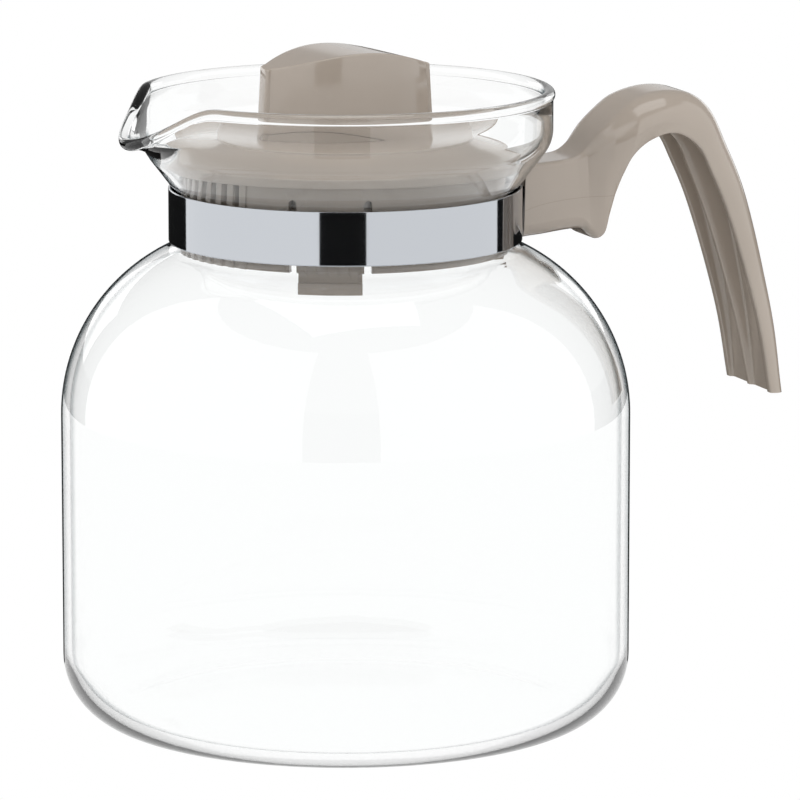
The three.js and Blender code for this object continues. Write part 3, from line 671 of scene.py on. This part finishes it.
def band_path():
    """The strip's middle line as (x, y, normal x, normal y), from the end of one ear to the other."""
    middle_r = BAND_OUTER_R - BAND_THICKNESS / 2
    turn = math.asin((EAR_Y + EAR_BEND) / (middle_r + EAR_BEND))
    bend_x = (middle_r + EAR_BEND) * math.cos(turn)
    ear = [(x, EAR_Y, 0.0, 1.0) for x in np.linspace(EAR_END, bend_x, 10)[:-1]]
    for a in np.linspace(-math.pi / 2, turn - math.pi, 10)[:-1]:
        cos, sin = math.cos(a), math.sin(a)
        ear.append((bend_x + EAR_BEND * cos, EAR_Y + EAR_BEND + EAR_BEND * sin, -cos, -sin))
    ring = [(middle_r * math.cos(a), middle_r * math.sin(a), math.cos(a), math.sin(a))
            for a in np.linspace(turn, 2 * math.pi - turn, 361)]
    mirrored = [(x, -y, nx, -ny) for x, y, nx, ny in ear + ring[:1]]
    return ear + ring + mirrored[::-1]


def build_band(material):
    """The strip as a swept section: round the neck, out through two bends and along the ears."""
    half, edge = BAND_THICKNESS / 2, BAND_EDGE_ROUND
    path = band_path()
    points = []
    for x, y, nx, ny in path:
        on_ear = x > BAND_OUTER_R + 0.3
        height = EAR_HALF_HEIGHT if on_ear else BAND_Z1 - BAND_MIDDLE_Z
        section = [(half, height - edge - 0.1)]
        section += arc(half - edge, height - edge, edge, 0, math.pi / 2, 4)
        section += [(-u, v) for u, v in section[::-1]]
        section += [(u, -v) for u, v in section[::-1]]
        points += [(x + nx * u, y + ny * u, BAND_MIDDLE_Z + v) for u, v in section]
    count = len(points) // len(path)
    faces = grid_faces(len(path), count, closed_columns=True)
    faces.append(tuple(range(count)))
    faces.append(tuple(range(len(points) - count, len(points))))
    make_piece("band_strip", points, faces, material, "jug", "clamp_band",
               sharp=50)


# ---- Lid --------------------------------------------------------------------------------

def cover_profile():
    """The disc's section from the middle of its top, round its rim and spigot, to its ceiling."""
    edge = COVER_EDGE_ROUND
    cone_top = PLATFORM_Z - PLATFORM_STEP
    flange_top = cone_top - CONE_RISE
    flange_low = flange_top - FLANGE_THICKNESS
    spigot_inner = SPIGOT_R - SPIGOT_WALL
    snap_low = flange_low - SNAP_LENGTH
    ceiling = PLATFORM_Z - LID_WALL
    cone_end = FLANGE_R - CONE_MARGIN
    slope = CONE_RISE / (cone_end - PLATFORM_R)
    profile = [(0.0, PLATFORM_Z), (12.0, PLATFORM_Z), (24.0, PLATFORM_Z)]
    profile += arc(PLATFORM_R - edge, PLATFORM_Z - edge, edge, math.pi / 2, 0, 5)
    profile += [(PLATFORM_R + 0.05, cone_top + 0.12), (PLATFORM_R + 0.25, cone_top)]
    cone_radii = np.linspace(PLATFORM_R + 1.5, cone_end, 9)
    profile += [(r, cone_top - (r - PLATFORM_R) * slope) for r in cone_radii]
    profile += arc(FLANGE_R - edge, flange_top - edge, edge, 70 * DEG, 0, 4)
    profile += arc(FLANGE_R - edge, flange_low + edge, edge, 0, -math.pi / 2, 4)
    profile += [(44.0, flange_low), (42.0, flange_low)]
    profile += [(SPIGOT_R + 0.2, flange_low), (SPIGOT_R, flange_low - 0.2)]
    profile += [(SPIGOT_R, snap_low - 0.3), (SNAP_R, SPIGOT_Z0 + 1.1), (SNAP_R - 0.2, SPIGOT_Z0)]
    profile += [(spigot_inner, SPIGOT_Z0), (spigot_inner, ceiling - 1)]
    profile += [(PLATFORM_R - 1, ceiling), (0.0, ceiling)]
    return profile, slope


def build_cover(material):
    """The lid's disc. Over the comb its edge steps in, and the disc follows the cone to there."""
    profile, slope = cover_profile()
    steps = 360
    points = []
    for k in range(steps):
        angle = 2 * math.pi * k / steps
        off = abs(angle - math.pi)
        inset = 1 - smoothstep(COMB_HALF - COMB_STEP, COMB_HALF + COMB_STEP, off)
        limit = FLANGE_R + (COMB_EDGE_R - FLANGE_R) * inset
        share = (limit - SQUEEZE_R) / (FLANGE_R - SQUEEZE_R)
        for r, z in profile:
            if r > SQUEEZE_R and z > PLATFORM_Z - SQUEEZE_DEPTH:
                scaled = SQUEEZE_R + (r - SQUEEZE_R) * share
                z += (r - scaled) * slope
                r = scaled
            points.append((-r * math.cos(angle), -r * math.sin(angle), z))
    faces = grid_faces(steps, len(profile), closed_rows=True)
    make_piece("lid_disc", points, faces, material, "lid", "lid_cover", sharp=40)


def build_comb_ribs(material):
    """Round-topped ribs on the disc's stepped edge, one over each rib of the comb below it."""
    low = PLATFORM_Z - PLATFORM_STEP - CONE_RISE - FLANGE_THICKNESS + 0.05
    top = low + FLANGE_THICKNESS + 0.7
    root = COMB_EDGE_R - 1.0
    reach = COMB_EDGE_R + COMB_RIB_REACH
    side = [(root, low), (reach - 0.3, low), (reach, low + 0.3), (reach, top - 1.5)]
    side += arc(reach - 1.3, top - 1.5, 1.3, 0, math.pi / 2, 5)[1:] + [(root, top + 0.1)]
    across = [(-1.0, 0.45), (-0.8, 0.12), (-0.5, 0.0), (0.5, 0.0), (0.8, 0.12), (1.0, 0.45)]
    count = len(side)
    rib_faces = grid_faces(len(across), count, closed_columns=True)
    rib_faces += [tuple(range(count)), tuple(range((len(across) - 1) * count, len(across) * count))]
    points, faces = [], []
    for i in range(COMB_RIBS):
        angle = math.pi + (2 * i / (COMB_RIBS - 1) - 1) * COMB_HALF
        cos, sin = math.cos(angle), math.sin(angle)
        first = len(points)
        for y, inset in across:
            for r, z in side:
                x = r if r == root else r - inset
                h = z if z <= low + 0.3 else z - inset
                points.append((x * cos - y * sin, x * sin + y * cos, h))
        faces += [tuple(first + k for k in face) for face in rib_faces]
    make_piece("comb_ribs", points, faces, material, "lid", "lid_cover", sharp=50)


def knob_outline(inset, count):
    """The knob's plan: two shallow arcs that meet two short flat ends, with small round corners."""
    sag = KNOB_HALF_WIDTH - KNOB_END_HALF_WIDTH
    radius = (KNOB_HALF_LENGTH ** 2 + sag ** 2) / (2 * sag)
    centre = radius - KNOB_HALF_WIDTH
    corner = KNOB_CORNER
    end = KNOB_HALF_LENGTH - inset
    half = []
    for x in np.linspace(corner - end, end - corner, count):
        half.append((x, centre - math.sqrt((radius - inset) ** 2 - x * x)))
    tip = -half[-1][1]
    turns = [(end - corner + corner * math.sin(a), tip - 0.8 * corner * (1 - math.cos(a)))
             for a in np.linspace(0, math.pi / 2, 7)[1:]]
    half += [(x, -y) for x, y in turns] + turns[::-1]
    return half + [(-x, -y) for x, y in half]


def knob_top(x, y, crest):
    away = x + KNOB_SKEW * y
    return crest - KNOB_FALL * away ** 2 + KNOB_FALL_EASE * away ** 4


def knob_shell(inset, base, crest, edge):
    """Rings of one closed-topped shell of the knob, from its foot up to the middle of its top."""
    outline = knob_outline(inset, 64)
    height = crest - base
    rings = []

    def ring(scale, height_of):
        row = []
        for x, y in outline:
            z = height_of(x * scale, y * scale)
            shrink = 1 - KNOB_TAPER * (z - base) / height
            row.append((x * scale * shrink, y * scale * shrink, z))
        rings.append(row)

    for share in np.linspace(0, 1, 12):
        ring(1.0, lambda x, y, s=share: base + s * (knob_top(x, y, crest) - edge - base))
    for a in np.linspace(0, math.pi / 2, 6)[1:]:
        inward = edge * (1 - math.cos(a)) / KNOB_HALF_WIDTH
        ring(1 - inward, lambda x, y, a=a: knob_top(x, y, crest) - edge * (1 - math.sin(a)))
    for scale in np.linspace(1 - edge / KNOB_HALF_WIDTH, 0.0, 16)[1:]:
        ring(scale, lambda x, y: knob_top(x, y, crest))
    return rings


def build_knob(material):
    base = PLATFORM_Z + KNOB_FOOT_GAP
    inner_high = KNOB_HIGH - KNOB_WALL - KNOB_CEILING_EXTRA
    outer = knob_shell(0.0, base, KNOB_HIGH, KNOB_EDGE_ROUND)
    inner = knob_shell(KNOB_WALL, base, inner_high, KNOB_INNER_ROUND)
    rows = outer[::-1] + inner
    cos, sin = math.cos(KNOB_TURN), math.sin(KNOB_TURN)
    points = [(x * cos - y * sin, x * sin + y * cos, z) for row in rows for x, y, z in row]
    faces = grid_faces(len(rows), len(rows[0]), closed_columns=True)
    make_piece("knob_shell", points, faces, material, "lid", "lid_knob", sharp=40)


# ---- Stage --------------------------------------------------------------------------------

WHITE = (1, 1, 1, 1)
FLOOR_HALF_SIZE = 6.0
FLOOR_Z = -0.0004
FLAG_Z = -0.0002
TOP_LIGHT_HALF_SIZE = 0.34
TOP_LIGHT_Z = 1.15


def quad_corners(half, z):
    return [(-half, -half, z), (half, -half, z), (half, half, z), (-half, half, z)]


def emission_material(name, strength):
    material = bpy.data.materials.new(name)
    material.use_nodes = True
    nodes, links = material.node_tree.nodes, material.node_tree.links
    nodes.clear()
    glow = nodes.new("ShaderNodeEmission")
    glow.inputs["Color"].default_value = WHITE
    glow.inputs["Strength"].default_value = strength
    out = nodes.new("ShaderNodeOutputMaterial")
    links.new(glow.outputs["Emission"], out.inputs["Surface"])
    return material


def stage_object(name, points, faces, material):
    mesh = bpy.data.meshes.new(name)
    mesh.from_pydata(points, [], faces)
    mesh.materials.append(material)
    thing = bpy.data.objects.new(name, mesh)
    bpy.context.scene.collection.objects.link(thing)
    return thing


def card(name, start, end, low, high, strength, radius=0.62, diffuse=False):
    """An upright curved card round the jug, from one angle beside the camera's side to another.
    Reflections see it, and diffuse light too where it is asked for, but the view through glass
    never does."""
    count = 24
    points, faces = [], []
    angles = np.linspace(VIEW_SIDE + start * DEG, VIEW_SIDE + end * DEG, count)
    for k, a in enumerate(angles):
        points += [(radius * math.cos(a), radius * math.sin(a), z) for z in (low, high)]
        if k:
            faces.append((2 * k - 2, 2 * k, 2 * k + 1, 2 * k - 1))
    thing = stage_object(name, points, faces, emission_material(name, strength))
    thing.visible_camera = thing.visible_shadow = False
    thing.visible_diffuse = diffuse
    thing.visible_transmission = False


def floor_flag(name, near, far, near_half, far_half):
    """A dark strip on the floor behind the jug, which only reflections see."""
    back_x, back_y = -math.cos(VIEW_SIDE), -math.sin(VIEW_SIDE)
    corners = ((near, near_half), (far, far_half), (far, -far_half), (near, -near_half))
    points = [(out * back_x - side * back_y, out * back_y + side * back_x, FLAG_Z)
              for out, side in corners]
    thing = stage_object(name, points, [(0, 1, 2, 3)], emission_material(name, 0.02))
    thing.visible_camera = thing.visible_shadow = False
    thing.visible_diffuse = thing.visible_transmission = False


def build_stage():
    floor = quad_corners(FLOOR_HALF_SIZE, FLOOR_Z)
    stage_object("floor", floor, [(0, 1, 2, 3)], emission_material("pale_floor", 1.0))
    card("softbox_left", -123, -16.1, 0.0, 1.0, 1.25, diffuse=True)
    card("softbox_right", 12.9, 113, 0.0, 1.0, 1.2, diffuse=True)
    card("flag_front", -16.1, 12.9, 0.0, 0.3, 0.01)
    card("flag_right", 113, 160, 0.0, 0.13, 0.01)
    card("flag_left", -160, -123, 0.0, 0.13, 0.01)
    card("back_light", 163, 197, 0.15, 0.5, 0.7, radius=1.2)
    card("back_light_left", 197, 221, 0.0, 0.5, 1.45, radius=1.2)
    card("back_light_right", 139, 163, 0.0, 0.5, 1.45, radius=1.2)
    card("back_flag", 163, 197, 0.0, 0.15, 0.02, radius=1.2)
    floor_flag("floor_flag", 0.06, 1.2, 0.09, 0.42)
    roof = quad_corners(TOP_LIGHT_HALF_SIZE, TOP_LIGHT_Z)
    light = stage_object("softbox_top", roof, [(0, 1, 2, 3)], emission_material("softbox_top", 1.8))
    light.visible_camera = light.visible_shadow = light.visible_transmission = False
    build_world()


def build_world():
    """White, and darker for reflections and diffuse light than for the view through glass."""
    world = bpy.data.worlds.new("studio")
    bpy.context.scene.world = world
    world.use_nodes = True
    nodes, links = world.node_tree.nodes, world.node_tree.links
    back = nodes["Background"]
    back.inputs["Color"].default_value = WHITE
    path = nodes.new("ShaderNodeLightPath")
    strength = 1.0
    levels = (("Is Glossy Ray", 0.3), ("Is Transmission Ray", 1.0), ("Is Diffuse Ray", 0.85))
    for ray, value in levels:
        mix = nodes.new("ShaderNodeMix")
        mix.inputs[3].default_value = value
        links.new(path.outputs[ray], mix.inputs["Factor"])
        if isinstance(strength, float):
            mix.inputs[2].default_value = strength
        else:
            links.new(strength, mix.inputs[2])
        strength = mix.outputs[0]
    links.new(strength, back.inputs["Strength"])


def build_camera():
    """An 800 by 800 view with a long lens, about 1.6 m away and a little above the jug."""
    data = bpy.data.cameras.new("camera")
    data.lens = 275.7
    data.sensor_width = 36.0
    data.clip_end = 60.0
    camera = bpy.data.objects.new("camera", data)
    bpy.context.scene.collection.objects.link(camera)
    distance, height = 1.589, 0.37645
    pitch, yaw = 10.387 * DEG, 0.516 * DEG
    camera.location = (distance * math.cos(VIEW_SIDE), distance * math.sin(VIEW_SIDE), height)
    heading = VIEW_SIDE + math.pi - yaw
    level = math.cos(pitch)
    forward = Vector((math.cos(heading) * level, math.sin(heading) * level, -math.sin(pitch)))
    camera.rotation_euler = forward.to_track_quat("-Z", "Y").to_euler()
    bpy.context.scene.camera = camera


# ---- The object ------------------------------------------------------------------------

build_camera()
build_stage()
bpy.context.scene.view_settings.view_transform = "Standard"

glass = glass_material()
taupe = plastic_material("taupe_plastic")
taupe_seamed = plastic_material("taupe_plastic_seamed", seam=True)
polished = steel_material("polished_steel", (0.47, 0.49, 0.52, 1), 0.03, 0.05)
plated = steel_material("plated_steel", (0.62, 0.62, 0.6, 1), 0.28, 0.12)

build_glass(glass)
build_handle(taupe_seamed)
build_band(polished)
build_cover(taupe)
build_comb_ribs(taupe)
build_knob(taupe)
refined_copy("strainer_skirt", "skirt_moulding", taupe, "strainer", 0.25)
fixings = (("clamp_nut", "barrel_nut"), ("clamp_screw", "pan_screw"), ("clamp_washer", "washer"))
for node, name in fixings:
    refined_copy(node, name, plated, "jug", 0.15)
